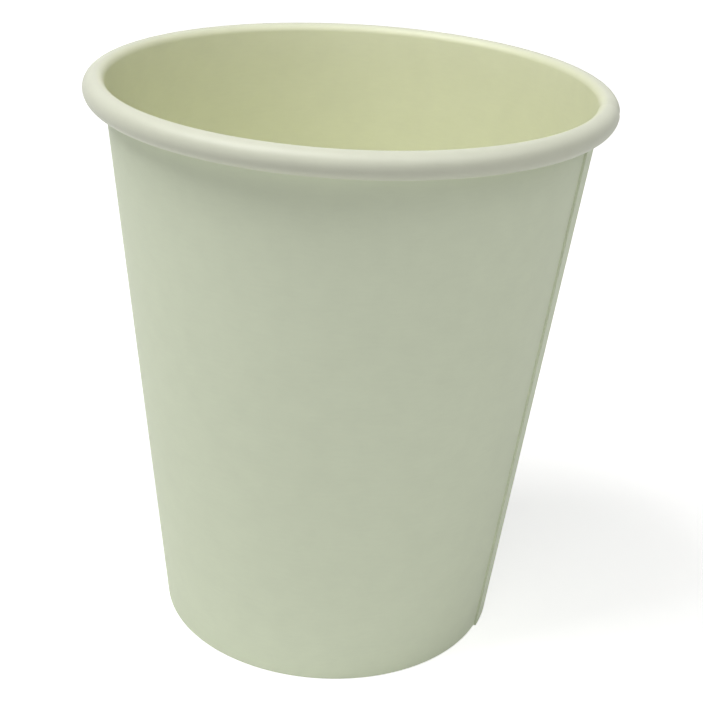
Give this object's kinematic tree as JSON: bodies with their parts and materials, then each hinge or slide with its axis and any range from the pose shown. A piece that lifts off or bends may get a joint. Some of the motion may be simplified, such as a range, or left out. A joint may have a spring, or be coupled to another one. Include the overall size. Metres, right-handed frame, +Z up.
{
  "type": "paper coffee cup",
  "caption": "Single-wall paper coffee cup: a tapered cone with a lapped side seam, an outward rolled rim, a turned-in hem and a recessed paper bottom disc.",
  "frame": {"origin": "centre of the base, on the plane that the cup stands on", "axes": "+Z up along the cup's axis, out of its mouth; -Y towards the picture's viewer; +X to the viewer's right, where the side seam is"},
  "size_m": [0.08, 0.08, 0.09],
  "materials": {
    "sidewall_paper": "uncoated matt outside, thin plastic film inside",
    "disc_paper": "thin plastic film on the upper face"
  },
  "bodies": {
    "root": {"sidewall": "sidewall_paper", "bottom_disc": "disc_paper"}
  },
  "joints": []
}
